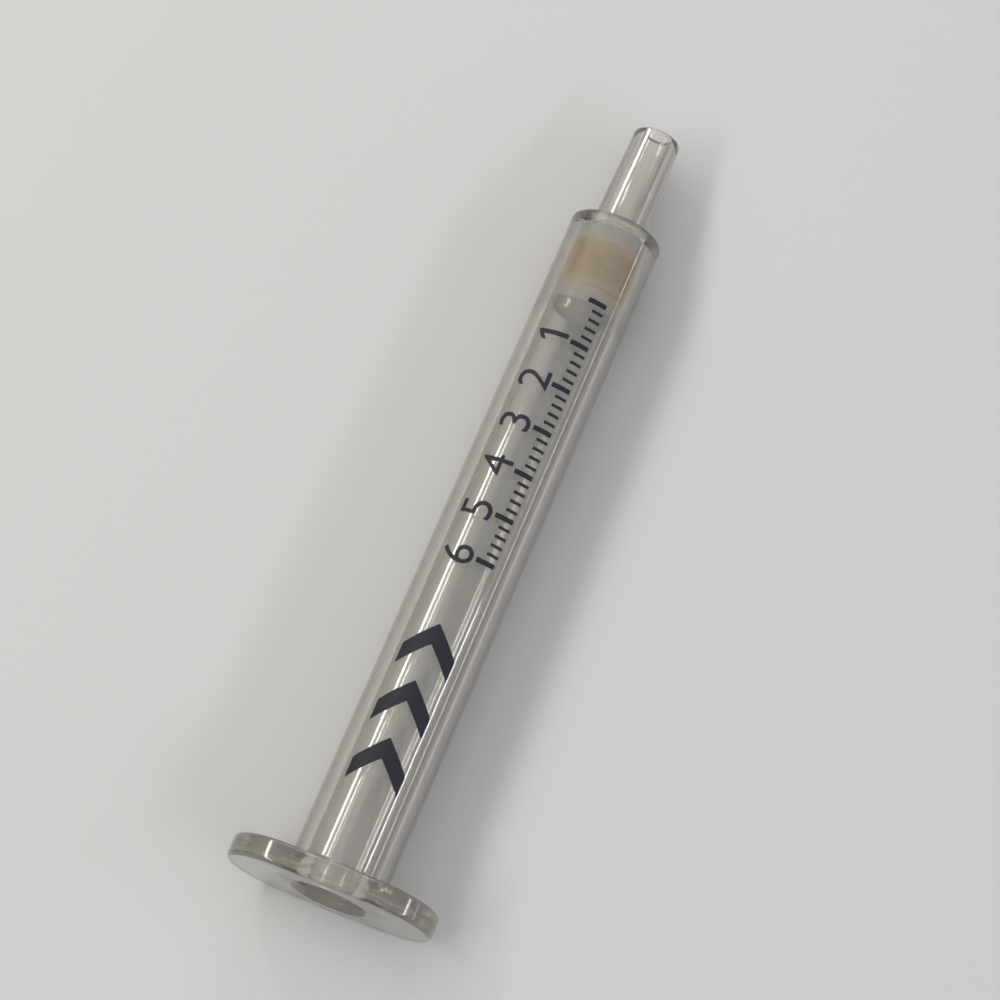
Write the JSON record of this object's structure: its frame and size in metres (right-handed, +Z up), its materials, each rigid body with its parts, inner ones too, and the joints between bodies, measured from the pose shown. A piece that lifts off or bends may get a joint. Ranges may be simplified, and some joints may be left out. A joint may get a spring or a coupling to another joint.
{
  "type": "spe cartridge",
  "caption": "Clear syringe-type solid-phase extraction cartridge lying on its side, with an eared flange, a Luer slip tip and a tan sorbent bed held between white frits.",
  "frame": {"origin": "centre of the box that the cartridge fills as it lies, at the surface that it lies on", "axes": "+Z up; +Y runs along the tube from the open flange towards the Luer tip, and the tube dips 0.95 degrees towards the tip; +X runs along the flange over its ears"},
  "size_m": [0.0168, 0.0686, 0.0096],
  "materials": {
    "clear_polypropylene": "clear, slightly hazy moulded polypropylene, glossy",
    "frit": "white porous sintered polyethylene",
    "sorbent": "fine tan packed particles",
    "ink": "dark navy printing ink"
  },
  "bodies": {
    "root": {"barrel": "clear_polypropylene", "lower_frit": "frit", "sorbent_bed": "sorbent", "upper_frit": "frit"}
  },
  "joints": []
}
